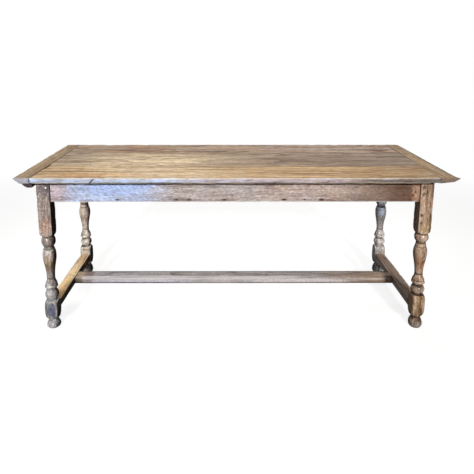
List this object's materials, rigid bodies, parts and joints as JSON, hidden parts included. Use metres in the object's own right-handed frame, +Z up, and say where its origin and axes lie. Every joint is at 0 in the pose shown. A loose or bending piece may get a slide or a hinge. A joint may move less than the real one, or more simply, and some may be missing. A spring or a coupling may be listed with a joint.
{
  "type": "dough bin table",
  "caption": "Aged oak farm table on turned legs with an H stretcher; its plank top with cross clamps slides lengthwise to open a shallow dough bin inside the apron.",
  "frame": {"origin": "on the floor, under the middle of the top", "axes": "+Z up, +X along the table's length, +Y towards the rear, so the front is at -Y"},
  "size_m": [1.94, 0.712, 0.755],
  "materials": {
    "top_oak": "aged waxed oak, honey brown with grey worn patches",
    "frame_oak": "aged oak, grey brown, worn at the edges",
    "inner_oak": "bare aged oak, unpolished",
    "peg_oak": "darkened oak end grain",
    "nail_iron": "rusted wrought iron"
  },
  "bodies": {
    "frame": {"apron_front": "frame_oak", "apron_left": "frame_oak", "apron_pegs_front": "peg_oak", "apron_pegs_left": "peg_oak", "apron_pegs_rear": "peg_oak", "apron_pegs_right": "peg_oak", "apron_rear": "frame_oak", "apron_right": "frame_oak", "end_stretcher_left": "frame_oak", "end_stretcher_pegs_left": "peg_oak", "end_stretcher_pegs_right": "peg_oak", "end_stretcher_right": "frame_oak", "floor_board_1": "inner_oak", "floor_board_2": "inner_oak", "floor_board_3": "inner_oak", "floor_board_4": "inner_oak", "floor_board_5": "inner_oak", "floor_board_6": "inner_oak", "floor_board_7": "inner_oak", "floor_board_8": "inner_oak", "ledger_front": "inner_oak", "ledger_nails_front": "nail_iron", "ledger_nails_rear": "nail_iron", "ledger_rear": "inner_oak", "leg_front_left": "frame_oak", "leg_front_right": "frame_oak", "leg_plugs": "peg_oak", "leg_rear_left": "frame_oak", "leg_rear_right": "frame_oak", "long_stretcher": "frame_oak", "long_stretcher_pegs": "peg_oak"},
    "sliding_top": {"batten_nails": "nail_iron", "clamp_pegs_left": "peg_oak", "clamp_pegs_right": "peg_oak", "end_batten": "inner_oak", "end_clamp_left": "top_oak", "end_clamp_right": "top_oak", "runner_front": "inner_oak", "runner_pegs_front": "peg_oak", "runner_pegs_rear": "peg_oak", "runner_rear": "inner_oak", "top_board_front": "top_oak", "top_board_middle": "top_oak", "top_board_rear": "top_oak"}
  },
  "joints": [
    {"name": "top_slide", "type": "slide", "parent": "frame", "child": "sliding_top", "axis": [-1, 0, 0], "range_m": [0, 0.7]}
  ]
}
